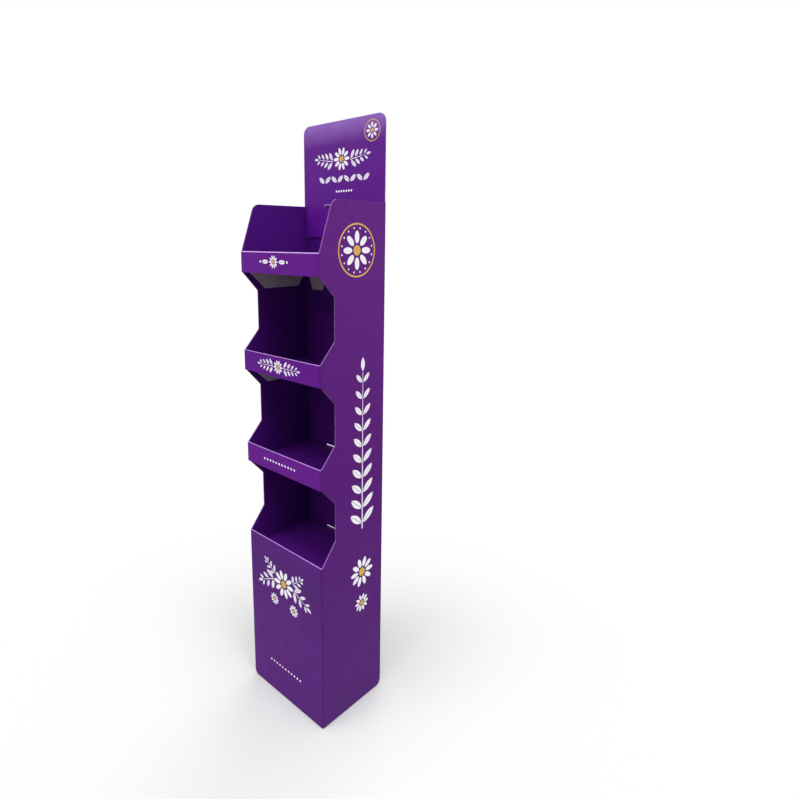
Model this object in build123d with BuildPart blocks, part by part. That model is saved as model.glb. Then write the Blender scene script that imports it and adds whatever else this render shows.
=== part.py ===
from build123d import *
import os

# A floor display stand of corrugated board: one wrap folded into a tube, with windows that run
# round its front corners, a header card, four shelf trays and a slotted cross in the base.
# X runs across the front, Y from the front to the back, Z up. The origin is on the floor, under
# the middle of the stand. Sizes are in millimetres.

# The board and its folds
board = 3.0
fold_inside = 1.0
glue_line = 0.2

# The stand as a whole
stand_width = 350.0
stand_depth = 273.0
base_tray_level = 500.0
shelf_pitch = 307.0
wing_height = 141.0

# Lips and windows of the outer wrap
lip_height = 64.0
lip_below_tray = 6.0
base_front_rise = 55.0
window_depth = 60.0
window_slope = 60.0
base_slope = 68.0
window_corner_radius = 5.0
wing_corner_depth = 54.0
wing_corner_radius = 28.0
floor_flap_depth = 70.0
foot_radius = 12.0
near_foot_radius = 2.0

# Back of the wrap, and the flap that glues it inside the right side
back_drop = 10.0
glue_flap_depth = 48.0
seam_setback = 1.5

# Header card
header_height = 350.0
header_overlap = 100.0
header_corner_radius = 26.0
header_foot_radius = 6.0
header_side_gap = 0.8
end_cut_height = 11.0
end_cut_width = 1.2

# Tabs and the slots that they lock into
tab_width = 42.0
tab_centre = 60.5
tab_side_gap = 1.5
tab_end_reach = 2.0
slit_gap = 1.0
slot_height = 7.0

# Shelf trays
tray_names = ["base_tray", "lower_shelf_tray", "middle_shelf_tray", "top_shelf_tray"]
tray_side_flap_depth = 61.0
tray_side_flap_setback = 23.0
tray_side_flap_front_taper = 65.0
tray_side_flap_back_taper = 36.0
tray_back_flap_depth = 74.0
tray_back_flap_taper = 25.0
tray_back_flap_inner_cut = 8.0
tray_back_flap_inner_rise = 28.0
tray_flap_radius = 8.0
tray_front_flap_height = 50.0
tray_front_flap_taper = 8.0
tray_relief = 1.0

# Slotted cross in the base
cross_gap = 0.3
cross_notch_gap = 2.0
cross_foot_cut = 3.0

# Places worked out from the sizes above
fold_outside = fold_inside + board
half_width = stand_width / 2
front = -stand_depth / 2
back = stand_depth / 2
inner_left = board - half_width
inner_right = half_width - board
glue_flap_outer = inner_right - glue_line
glue_flap_inner = glue_flap_outer - board
tray_levels = [base_tray_level + shelf_pitch * step for step in range(len(tray_names))]
base_front_top = base_tray_level + base_front_rise
lip_bottoms = [level - lip_below_tray for level in tray_levels[1:]]
lip_tops = [bottom + lip_height for bottom in lip_bottoms]
side_height = lip_tops[-1] + wing_height
back_top = side_height - back_drop
tray_left = inner_left + glue_line
tray_right = glue_flap_inner - glue_line
tray_front = front + board + glue_line
tray_back = back - board - glue_line
header_front = tray_back - board
header_bottom = side_height - header_overlap
header_top = header_bottom + header_height
slot_width = tab_width + 2 * tab_side_gap
tab_outer = tab_centre + tab_width / 2
# The upright folds' inner limits, and how far the foot is rounded off beside each of them
fold_left = fold_outside - half_width
fold_right = half_width - fold_outside
fold_seam = glue_flap_outer - fold_outside
fold_front = front + fold_outside
fold_back = back - fold_outside
feet = [
    (fold_left, -1, fold_front, -1, foot_radius),
    (fold_right, 1, fold_front, -1, near_foot_radius),
    (fold_seam, 1, fold_back, 1, foot_radius),
    (fold_left, -1, fold_back, 1, foot_radius),
]


def at_x(x):
    """The plane square to X at x, with Y to the right and Z up."""
    return Plane.YZ.offset(x)


def at_y(y):
    """The plane square to Y at y, with X to the right and Z up. It faces the front."""
    return Plane.XZ.offset(-y)


def panel(plane, corners, thickness=board):
    """A flat stretch of board with the given corners, extruded along the plane's normal."""
    with BuildSketch(plane) as outline:
        with BuildLine():
            Polyline(*corners, close=True)
        make_face()
    extrude(outline.sketch, amount=thickness)


def crease(plane, centre, start_angle, length):
    """The quarter ring of board along a fold, from the plane along its normal."""
    with BuildSketch(plane) as ring:
        with BuildLine():
            inner = CenterArc(centre, fold_inside, start_angle, 90)
            outer = CenterArc(centre, fold_outside, start_angle, 90)
            Line(inner @ 0, outer @ 0)
            Line(inner @ 1, outer @ 1)
        make_face()
    extrude(ring.sketch, amount=length)


def window_outline(low, low_slope, high):
    """A window's side view: square to the board at the lips, slanted to its upright edge."""
    corner = front + fold_outside
    upright = front + window_depth
    with BuildSketch(at_x(0)) as outline:
        with BuildLine():
            Polyline(
                (front - board, low),
                (corner, low),
                (upright, low + low_slope),
                (upright, high - window_slope),
                (corner, high),
                (front - board, high),
                close=True,
            )
        make_face()
        fillet(outline.vertices().group_by(Axis.X)[-1], window_corner_radius)
    return outline.sketch


def wing_outline():
    """What is cut away above the top lip: the wings' slanted front edges and round corners."""
    corner = (front + fold_outside, lip_tops[-1])
    peak = (front + wing_corner_depth, side_height)
    top_end = (peak[0] + wing_corner_radius, side_height)
    above = side_height + board
    with BuildSketch(at_x(0)) as outline:
        with BuildLine():
            FilletPolyline(corner, peak, top_end, radius=wing_corner_radius)
            Polyline(top_end, (top_end[0], above), (front - board, above), (front - board, corner[1]), corner)
        make_face()
    return outline.sketch


def foot_outline(plane, fold, side, radius):
    """A board's foot beside an upright fold: rounded off, and cut away across the fold itself."""
    past = fold + side * (2 * fold_outside + board)
    with BuildSketch(plane) as outline:
        with BuildLine():
            centre = (fold - side * radius, fold_outside + radius)
            round_foot = CenterArc(centre, radius, 270 if side > 0 else 180, 90)
            Polyline(
                (fold, fold_outside + radius),
                (past, fold_outside + radius),
                (past, 0),
                (fold - side * radius, 0),
                (fold - side * radius, fold_outside),
            )
        make_face()
    return outline.sketch


def floor_flap_across(side, left, right):
    """The floor flap of the front or the back, side -1 or 1, with its ends cut back at 45 degrees."""
    root = fold_front if side < 0 else fold_back
    reach = floor_flap_depth - fold_outside
    tip = root - side * reach
    crease(at_x(left), (root, fold_outside), 180 if side < 0 else 270, right - left)
    panel(Plane.XY, [(left, root), (right, root), (right - reach, tip), (left + reach, tip)])


def floor_flap_along(side, near, far):
    """The floor flap of a side, -1 for the left and 1 for the right."""
    root = fold_left if side < 0 else fold_right
    reach = floor_flap_depth - fold_outside
    tip = root - side * reach
    crease(at_y(far), (root, fold_outside), 180 if side < 0 else 270, far - near)
    panel(Plane.XY, [(root, near), (root, far), (tip, far - reach), (tip, near + reach)])


def header_tongue(x):
    """A tongue that rises over the back's top edge and bends forward into the header card."""
    left = x - tab_width / 2
    right = x + tab_width / 2
    bend = side_height + board / 2 - fold_outside
    tip = header_front - tab_end_reach
    heel = back - fold_outside
    panel(at_y(back), [(left, back_top), (right, back_top), (right, bend), (left, bend)])
    crease(at_x(left), (heel, bend), 0, tab_width)
    panel(Plane.XY.offset(side_height - board / 2), [(left, tip), (right, tip), (right, heel), (left, heel)])


with BuildPart() as outer_wrap:
    with BuildSketch(Plane.XY.offset(fold_outside)) as wall_plan:
        with BuildLine():
            inner_face = FilletPolyline(
                (inner_right, back - seam_setback),
                (inner_right, front + board),
                (inner_left, front + board),
                (inner_left, back - board),
                (glue_flap_inner, back - board),
                (glue_flap_inner, back - glue_flap_depth),
                radius=fold_inside,
            )
            outer_face = FilletPolyline(
                (half_width, back - seam_setback),
                (half_width, front),
                (-half_width, front),
                (-half_width, back),
                (glue_flap_outer, back),
                (glue_flap_outer, back - glue_flap_depth),
                radius=fold_outside,
            )
            Line(inner_face @ 0, outer_face @ 0)
            Line(inner_face @ 1, outer_face @ 1)
        make_face()
    extrude(wall_plan.sketch, amount=side_height - fold_outside)
    window_lows = [base_front_top] + lip_tops[:-1]
    window_slopes = [base_slope] + [window_slope] * (len(lip_tops) - 1)
    for low, slope, high in zip(window_lows, window_slopes, lip_bottoms):
        extrude(window_outline(low, slope, high), amount=stand_width, both=True, mode=Mode.SUBTRACT)
    extrude(wing_outline(), amount=stand_width, both=True, mode=Mode.SUBTRACT)
    with BuildSketch(Plane.XY.offset(back_top)) as above_back:
        with BuildLine():
            Polyline(
                (fold_left, back + board),
                (fold_left, back - glue_flap_depth - board),
                (inner_right - glue_line / 2, back - glue_flap_depth - board),
                (inner_right - glue_line / 2, back + board),
                close=True,
            )
        make_face()
    extrude(above_back.sketch, amount=back_drop + board, mode=Mode.SUBTRACT)
    for fold_x, x_side, fold_y, y_side, radius in feet:
        cut = 2 * fold_outside + board
        extrude(foot_outline(at_y(fold_y), fold_x, x_side, radius), amount=-y_side * cut, mode=Mode.SUBTRACT)
        extrude(foot_outline(at_x(fold_x), fold_y, y_side, radius), amount=x_side * cut, mode=Mode.SUBTRACT)
    floor_flap_across(-1, fold_left + foot_radius, fold_right - near_foot_radius)
    floor_flap_across(1, fold_left + foot_radius, fold_seam - foot_radius)
    floor_flap_along(-1, fold_front + foot_radius, fold_back - foot_radius)
    floor_flap_along(1, fold_front + near_foot_radius, fold_back - foot_radius)
    for x in (-tab_centre, tab_centre):
        header_tongue(x)
    slot_centres = [
        (x, level - board - glue_line + slot_height / 2)
        for level in tray_levels
        for x in (-tab_centre, tab_centre)
    ]
    with BuildSketch(at_y(back)) as tray_slots:
        with Locations(*slot_centres):
            Rectangle(slot_width, slot_height)
    extrude(tray_slots.sketch, amount=board, mode=Mode.SUBTRACT)
outer_wrap.part.label = "outer_wrap"


with BuildPart() as header_card:
    tongue_half = tray_right - header_side_gap
    with BuildSketch(at_y(tray_back)) as card:
        with BuildLine():
            Polyline(
                (-tongue_half, header_bottom),
                (tongue_half, header_bottom),
                (tongue_half, side_height),
                (half_width, side_height),
                (half_width, header_top),
                (-half_width, header_top),
                (-half_width, side_height),
                (-tongue_half, side_height),
                close=True,
            )
        make_face()
        fillet(card.vertices().group_by(Axis.Y)[-1], header_corner_radius)
        fillet(card.vertices().group_by(Axis.Y)[0], header_foot_radius)
        with Locations((-tab_centre, side_height), (tab_centre, side_height)):
            Rectangle(slot_width, board + 2 * slit_gap, mode=Mode.SUBTRACT)
            with Locations((-slot_width / 2, 0), (slot_width / 2, 0)):
                Rectangle(end_cut_width, end_cut_height, mode=Mode.SUBTRACT)
    extrude(card.sketch, amount=board)
header_card.part.label = "header_card"


def tray_flap(plane, corners):
    """The flat stretch of a tray's flap, with its lower corners rounded."""
    with BuildSketch(plane) as outline:
        with BuildLine():
            Polyline(*corners, close=True)
        make_face()
        fillet(outline.vertices().group_by(Axis.Y)[0], tray_flap_radius)
    extrude(outline.sketch, amount=board)


def tray_side_flap(side, level):
    """A tray's side flap, folded down and cut back at both ends, for side -1 or 1."""
    near = front + tray_side_flap_setback
    far = tray_back - fold_outside - tray_relief
    root = level - fold_outside
    foot = level - tray_side_flap_depth
    outer = tray_left if side < 0 else tray_right
    crease(at_y(far), (outer - side * fold_outside, root), 90 if side < 0 else 0, far - near)
    tray_flap(
        at_x(outer if side < 0 else outer - board),
        [
            (near, root),
            (near + tray_side_flap_front_taper, foot),
            (far - tray_side_flap_back_taper, foot),
            (far, root),
        ],
    )


def tray_back_flap(side, level):
    """One of a tray's two back flaps, folded down beside its tabs, for side -1 or 1."""
    inner = side * (tab_outer + tray_relief)
    outer = (tray_left if side < 0 else tray_right) - side * (fold_outside + tray_relief)
    root = level - fold_outside
    foot = level - tray_back_flap_depth
    crease(at_x(min(inner, outer)), (tray_back - fold_outside, root), 0, abs(outer - inner))
    tray_flap(
        at_y(tray_back),
        [
            (outer, root),
            (outer - side * tray_back_flap_taper, foot),
            (inner + side * tray_back_flap_inner_cut, foot),
            (inner, foot + tray_back_flap_inner_rise),
            (inner, root),
        ],
    )


def tray_back_edge(level):
    """The shelf's back edge between its back flaps, with the two tabs that reach through the wrap's back."""
    heel = tray_back - fold_outside
    tab_inner = tab_outer - tab_width
    panel(
        Plane.XY.offset(level - board),
        [
            (-tab_outer, heel),
            (tab_outer, heel),
            (tab_outer, back),
            (tab_inner, back),
            (tab_inner, tray_back),
            (-tab_inner, tray_back),
            (-tab_inner, back),
            (-tab_outer, back),
        ],
    )


def tray_front_flap(level, left, right):
    """A tray's front flap, folded up behind the lip."""
    root = level - board + fold_outside
    head = level + tray_front_flap_height
    crease(at_x(left), (tray_front + fold_outside, root), 180, right - left)
    panel(
        at_y(tray_front + board),
        [(left, root), (right, root), (right - tray_front_flap_taper, head), (left + tray_front_flap_taper, head)],
    )


def shelf_top(level, left, right):
    """The tray's flat top, as wide as the stand inside at the front, where its side flaps have not begun."""
    near = tray_front + fold_outside
    far = tray_back - fold_outside
    neck = front + tray_side_flap_setback - tray_relief
    panel(
        Plane.XY.offset(level - board),
        [
            (left, near),
            (right, near),
            (right, neck),
            (tray_right - fold_outside, neck),
            (tray_right - fold_outside, far),
            (tray_left + fold_outside, far),
            (tray_left + fold_outside, neck),
            (left, neck),
        ],
    )


trays = []
for name, level in zip(tray_names, tray_levels):
    with BuildPart() as tray:
        ear_left = inner_left + fold_inside + glue_line
        ear_right = inner_right - fold_inside - glue_line
        shelf_top(level, ear_left, ear_right)
        for side in (-1, 1):
            tray_side_flap(side, level)
            tray_back_flap(side, level)
        tray_back_edge(level)
        tray_front_flap(level, ear_left, ear_right)
    tray.part.label = name
    trays.append(tray.part)


cross_bottom = board + glue_line
cross_top = base_tray_level - board - glue_line
cross_middle = (cross_bottom + cross_top) / 2
cross_slot = board + 2 * cross_gap

with BuildPart() as base_cross_wide:
    end = inner_right - glue_line
    ledge = base_tray_level - tray_side_flap_depth - cross_notch_gap
    step_left = tray_left + board + cross_notch_gap
    step_right = tray_right - board - cross_notch_gap
    panel(
        at_y(board / 2),
        [
            (cross_foot_cut - end, cross_bottom),
            (end - cross_foot_cut, cross_bottom),
            (end, cross_bottom + cross_foot_cut),
            (end, ledge),
            (step_right, ledge),
            (step_right, cross_top),
            (step_left, cross_top),
            (step_left, ledge),
            (-end, ledge),
            (-end, cross_bottom + cross_foot_cut),
        ],
    )
    with BuildSketch(at_y(board / 2)) as upper_slot:
        with Locations((0, cross_middle - cross_gap / 2)):
            Rectangle(cross_slot, cross_top - cross_middle + cross_gap, align=(Align.CENTER, Align.MIN))
    extrude(upper_slot.sketch, amount=board, mode=Mode.SUBTRACT)
base_cross_wide.part.label = "base_cross_wide"

with BuildPart() as base_cross_deep:
    panel(
        at_x(-board / 2),
        [
            (tray_front + cross_foot_cut, cross_bottom),
            (tray_back - cross_foot_cut, cross_bottom),
            (tray_back, cross_bottom + cross_foot_cut),
            (tray_back, cross_top),
            (tray_front, cross_top),
            (tray_front, cross_bottom + cross_foot_cut),
        ],
    )
    with BuildSketch(at_x(-board / 2)) as lower_slot:
        with Locations((0, cross_middle + cross_gap / 2)):
            Rectangle(cross_slot, cross_middle - cross_bottom + cross_gap, align=(Align.CENTER, Align.MAX))
    extrude(lower_slot.sketch, amount=board, mode=Mode.SUBTRACT)
base_cross_deep.part.label = "base_cross_deep"

os.makedirs("parts", exist_ok=True)
pieces = [outer_wrap.part, header_card.part, base_cross_wide.part, base_cross_deep.part]
for piece in pieces + trays:
    export_step(piece, f"parts/{piece.label}.step")
    print(piece.label, round(piece.volume), len(piece.solids()))
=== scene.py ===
"""Dresses the floor display stand: printed corrugated board, cut edges, ornaments and a studio."""

import math

import bmesh
import bpy
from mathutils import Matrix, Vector
from mathutils.bvhtree import BVHTree


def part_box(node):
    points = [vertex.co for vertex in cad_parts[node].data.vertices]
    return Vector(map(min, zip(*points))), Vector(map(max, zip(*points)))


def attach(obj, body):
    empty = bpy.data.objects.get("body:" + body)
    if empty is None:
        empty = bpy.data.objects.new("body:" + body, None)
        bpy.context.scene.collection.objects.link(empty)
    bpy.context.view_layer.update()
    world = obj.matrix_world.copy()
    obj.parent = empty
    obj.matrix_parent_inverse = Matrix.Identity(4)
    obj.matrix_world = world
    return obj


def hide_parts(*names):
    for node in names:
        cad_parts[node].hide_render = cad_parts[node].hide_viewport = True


bl_info = {
    "name": "Cardboard Display Stand",
    "version": (1, 0, 0),
    "blender": (4, 5, 0),
    "location": "View3D > Sidebar > Display Stand",
    "description": "Printed corrugated board, ornaments and studio for a floor display stand",
    "category": "Object",
}

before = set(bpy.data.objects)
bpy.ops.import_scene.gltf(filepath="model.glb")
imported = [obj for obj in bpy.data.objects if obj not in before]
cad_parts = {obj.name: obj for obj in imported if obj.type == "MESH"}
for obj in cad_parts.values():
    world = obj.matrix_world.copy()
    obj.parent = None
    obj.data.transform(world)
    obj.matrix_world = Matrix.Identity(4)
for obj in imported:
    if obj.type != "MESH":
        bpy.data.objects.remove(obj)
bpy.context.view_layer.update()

# The wrap's outer faces, from the middle of the stand
half_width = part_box("outer_wrap")[1].x
half_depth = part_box("outer_wrap")[1].y

# The header card's height, and the tops of the sides, 100 mm over its lower edge
HEADER_REACH = 0.100
header_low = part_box("header_card")[0].z
header_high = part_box("header_card")[1].z
sides_high = header_low + HEADER_REACH

# The trays from the floor up, and the tops of the three lips, 8 mm over the front flaps behind them
TRAYS = ("base_tray", "lower_shelf_tray", "middle_shelf_tray", "top_shelf_tray")
LIP_OVER_FLAP = 0.008
lower_lip, middle_lip, top_lip = [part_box(tray)[1].z + LIP_OVER_FLAP for tray in TRAYS[1:]]


# Settings


def from_hex(code):
    """Turns an sRGB hex colour to linear red, green, blue and alpha."""
    channels = [int(code[i : i + 2], 16) / 255 for i in (1, 3, 5)]
    linear = [c / 12.92 if c <= 0.04045 else ((c + 0.055) / 1.055) ** 2.4 for c in channels]
    return (*linear, 1.0)


def colour(name, description, code):
    """A colour property with its default given as sRGB hex."""
    return bpy.props.FloatVectorProperty(
        name=name, description=description, subtype="COLOR", size=4, min=0, max=1, default=from_hex(code)
    )


def length(name, description, default):
    """A length property in metres."""
    return bpy.props.FloatProperty(
        name=name, description=description, subtype="DISTANCE", unit="LENGTH", precision=5, default=default
    )


class StandBoard(bpy.types.PropertyGroup):
    """Sizes and colours of the corrugated board"""

    thickness: length("Board thickness", "Both liners and the flute between them", 0.003)
    flute_pitch: length("Flute pitch", "Distance from one flute to the next, B flute", 0.0064)
    corner: length("Cut corner", "How far the die rounds the corners of a cut edge", 0.00012)
    # The band of painted shade along each side of an upright fold
    score: length("Score", "How far the pressed band reaches on each side of a fold", 0.006)
    swell: length("Swell", "Width of one soft swell of the whole sheet", 0.143)
    fibre: length("Liner fibre", "Paper fibre, drawn coarser than the real 1 to 2 mm to show", 0.0024)
    liner_patch: length("Liner patch", "Width of a darker or paler patch of the plain liner", 0.042)
    crushed: length("Crushed length", "Length of cut edge that the die crushes shut at one place", 0.0077)
    liner: colour("Unprinted liner", "Grey-brown recycled liner on the plain side", "#A3979F")
    # Painted light on the cut edges: the darker cut paper is partly painted shade, for edges that do not
    # face up, and the paler paper is a painted highlight for edges that face up
    cut_paper: colour("Cut paper", "Paper that shows on a cut edge, tinted by the ink", "#85589E")
    highlit_paper: colour("Highlit paper", "The same paper, painted paler as a highlight where an edge faces up", "#B48AD0")
    cut_hollow: colour("Cut hollow", "Shaded hollow between the flutes on a cut edge", "#4E2E62")


class StandPrint(bpy.types.PropertyGroup):
    """Colours of the offset print and sizes of its wear"""

    side_top: colour("Side, top", "Purple at the top of the sides", "#601E7D")
    side_middle: colour("Side, middle", "Purple halfway down the sides", "#561573")
    side_foot: colour("Side, foot", "Purple of the sides near the floor", "#542373")
    front_top: colour("Front, top lip", "Bluer purple of the top lip", "#600F88")
    front_upper: colour("Front, middle lip", "Purple of the middle lip", "#5B0D85")
    front_lower: colour("Front, lower lip", "Purple of the lower lip", "#631489")
    front_base: colour("Front, base", "Purple at the top of the base's front", "#501F71")
    front_foot: colour("Front, foot", "Paler purple of the base's front lower down", "#59217A")
    # Painted sheen: paler purple along the header's top edge, where the light glances off the varnish, laid
    # over the print's purple
    header_top_sheen: colour("Header, top", "Paler purple at the header's top edge", "#966AC0")
    header_middle: colour("Header, middle", "Purple behind the header's ornament", "#612088")
    header_foot: colour("Header, foot", "Purple of the header below the ornament", "#5B0B8C")
    # Print purple of the inside and the shelves, made deeper and bluer than the outside's as painted shade
    # of the interior
    inside: colour("Inside", "Purple of the wrap's inside and the shelves", "#490F74")
    white_ink: colour("White ink", "White of the ornaments", "#FBF5FF")
    gold_ink: colour("Gold ink", "Yellow gold of the ornaments", "#D8AE45")
    # Painted highlight along the lips' top edges: its colour, and its width on each lip
    lip_highlight: colour("Lip highlight", "Painted highlight along the lips' top edges, white tinted by the ink", "#EABCFF")
    highlight_top: length("Highlight, top lip", "Width of the painted highlight along the top lip", 0.0026)
    highlight_middle: length("Highlight, middle lip", "Width of the painted highlight along the middle lip", 0.0007)
    highlight_lower: length("Highlight, lower lip", "Width of the painted highlight along the lower lip", 0.0004)
    ink_cloud: length("Ink cloud", "Width of a cloudy patch of the purple ink", 0.030)
    rubbed_patch: length("Rubbed patch", "Width of a patch that hands and cartons rubbed dull", 0.011)
    spot_cloud: length("Spot ink cloud", "Width of a cloudy patch of the white and gold inks", 0.017)


class StandOrnament(bpy.types.PropertyGroup):
    """Sizes of the printed ornaments"""

    ink: length("Ink film", "How far an ornament stands off the board", 0.0001)
    stem: length("Stem", "Width of a branch's stem and of the side ring's line", 0.0045)
    vein: length("Vein", "Bare line down the middle of a leaf", 0.0012)
    side_ring: length("Side ring", "Outer radius of the ring at the top of each side", 0.076)
    header_ring: length("Header ring", "Outer radius of the ring in the header's corner", 0.031)
    header_line: length("Header ring's line", "Width of the header ring's line", 0.0025)
    side_leaf: length("Side leaf", "Length of the largest leaf on the sides", 0.062)
    dot: length("Dot", "Radius of the dots in the rows", 0.0035)


def settings():
    """The three groups of settings on the scene."""
    scene = bpy.context.scene
    return scene.stand_board, scene.stand_print, scene.stand_ornament


# Materials

# Sockets that share a name and so go by number: a Math node's values, and a Mix node's for colours
FIRST, SECOND, THIRD = 0, 1, 2
SHARE, FROM_COLOUR, TO_COLOUR, MIXED = 0, 6, 7, 2

# The range that most of a noise lies in
NOISE_SPREAD = (0.3, 0.7)

# Refraction of varnish and ink, and of bare paper
INK_IOR = 1.46
PAPER_IOR = 1.4

# Down to this depth under the front face the print is wholly the front's
FRONT_SKIN = 0.0003

# How bright the ink is painted at a fold, next to 1 on a flat panel: painted shade where the board turns
FOLD_SHADE_INK = 0.84

# A cut edge, as shares of the board's thickness: its middle, how far the flute swings from there, where the
# flute's paper ends beside its own line, and where the liners begin beside the middle
BOARD_MIDDLE = 0.5
FLUTE_SWING = 0.34
FLUTE_EDGE = (0.07, 0.13)
LINER_EDGE = (0.36, 0.41)

# How far up a cut edge faces where its painted highlight begins and where it is full
HIGHLIT_UP = (0.8, 0.98)

# Colours of the print from the floor up: height in metres, and the name of the colour in StandPrint
SIDE_FIELD = ((0.0, "side_foot"), (0.8, "side_middle"), (sides_high, "side_top"))
FRONT_FIELD = (
    (0.30, "front_foot"),
    (0.46, "front_base"),
    (0.83, "front_lower"),
    (1.14, "front_upper"),
    (1.45, "front_top"),
)
# The header's top colour is a painted sheen
HEADER_FIELD = ((header_low, "header_foot"), (1.80, "header_middle"), (header_high, "header_top_sheen"))
# The inside's colour carries painted shade
SHADED_INSIDE_FIELD = ((0.0, "inside"), (sides_high, "inside"))

# Each print, with its field for the sides and the back and its field for the front
PRINTS = {
    "Offset print, wrap": (SIDE_FIELD, FRONT_FIELD),
    "Offset print, header": (HEADER_FIELD, HEADER_FIELD),
    "Offset print, inside": (SHADED_INSIDE_FIELD, SHADED_INSIDE_FIELD),
}


def add_node(tree, kind, inputs=None, **options):
    """Adds a node with its options. An input is a value, or the output or the node that is linked to it."""
    node = tree.nodes.new(kind)
    for name, value in options.items():
        setattr(node, name, value)
    for socket, source in (inputs or {}).items():
        if isinstance(source, bpy.types.Node):
            source = source.outputs[0]
        if isinstance(source, bpy.types.NodeSocket):
            tree.links.new(source, node.inputs[socket])
        else:
            node.inputs[socket].default_value = source
    return node


def new_material(name):
    """An empty material and its node tree."""
    material = bpy.data.materials.new(name)
    material.use_nodes = True
    material.node_tree.nodes.clear()
    return material, material.node_tree


def colour_field(tree, height, stops):
    """Colours that run into each other from the floor up, through stops of height and colour name."""
    inks = settings()[1]
    low = stops[0][0]
    high = stops[-1][0]
    share = add_node(tree, "ShaderNodeMapRange", {"Value": height, "From Min": low, "From Max": high})
    ramp = add_node(tree, "ShaderNodeValToRGB", {"Fac": share})
    band = ramp.color_ramp
    while len(band.elements) < len(stops):
        band.elements.new(0.5)
    for element, (place, name) in zip(band.elements, stops):
        element.position = (place - low) / (high - low)
        element.color = getattr(inks, name)
    return ramp


def patches(tree, size, detail, spread, result):
    """Cloudy patches of one width in metres: a noise, with the spread low to high turned to the result."""
    place = add_node(tree, "ShaderNodeTexCoord")
    grain = {"Vector": place.outputs["Object"], "Scale": 1 / size, "Detail": detail}
    noise = add_node(tree, "ShaderNodeTexNoise", grain)
    return add_node(
        tree,
        "ShaderNodeMapRange",
        {
            "Value": noise.outputs["Fac"],
            "From Min": spread[0],
            "From Max": spread[1],
            "To Min": result[0],
            "To Max": result[1],
        },
    )


def flute_wave(tree):
    """Where a point is on the board's own map, and the wave of the flutes there."""
    sheet = add_node(tree, "ShaderNodeUVMap", uv_map="board")
    across = add_node(tree, "ShaderNodeSeparateXYZ", {"Vector": sheet})
    turns = {FIRST: across.outputs["X"], SECOND: 2 * math.pi / settings()[0].flute_pitch}
    angle = add_node(tree, "ShaderNodeMath", turns, operation="MULTIPLY")
    return across, add_node(tree, "ShaderNodeMath", {FIRST: angle}, operation="SINE")


def washboard(tree, strength):
    """The flutes that show through the liner as faint ribs, with a soft swell of the whole sheet."""
    place = add_node(tree, "ShaderNodeTexCoord")
    scale = 1 / settings()[0].swell
    swell = add_node(
        tree,
        "ShaderNodeTexNoise",
        {"Vector": place.outputs["Object"], "Scale": scale, "Detail": 1.0, "Roughness": 0.4},
    )
    soft = add_node(
        tree, "ShaderNodeBump", {"Height": swell.outputs["Fac"], "Strength": 0.55, "Distance": 0.0035}
    )
    ribs = flute_wave(tree)[1]
    return add_node(
        tree, "ShaderNodeBump", {"Height": ribs, "Normal": soft, "Strength": strength, "Distance": 0.00006}
    )


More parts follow.
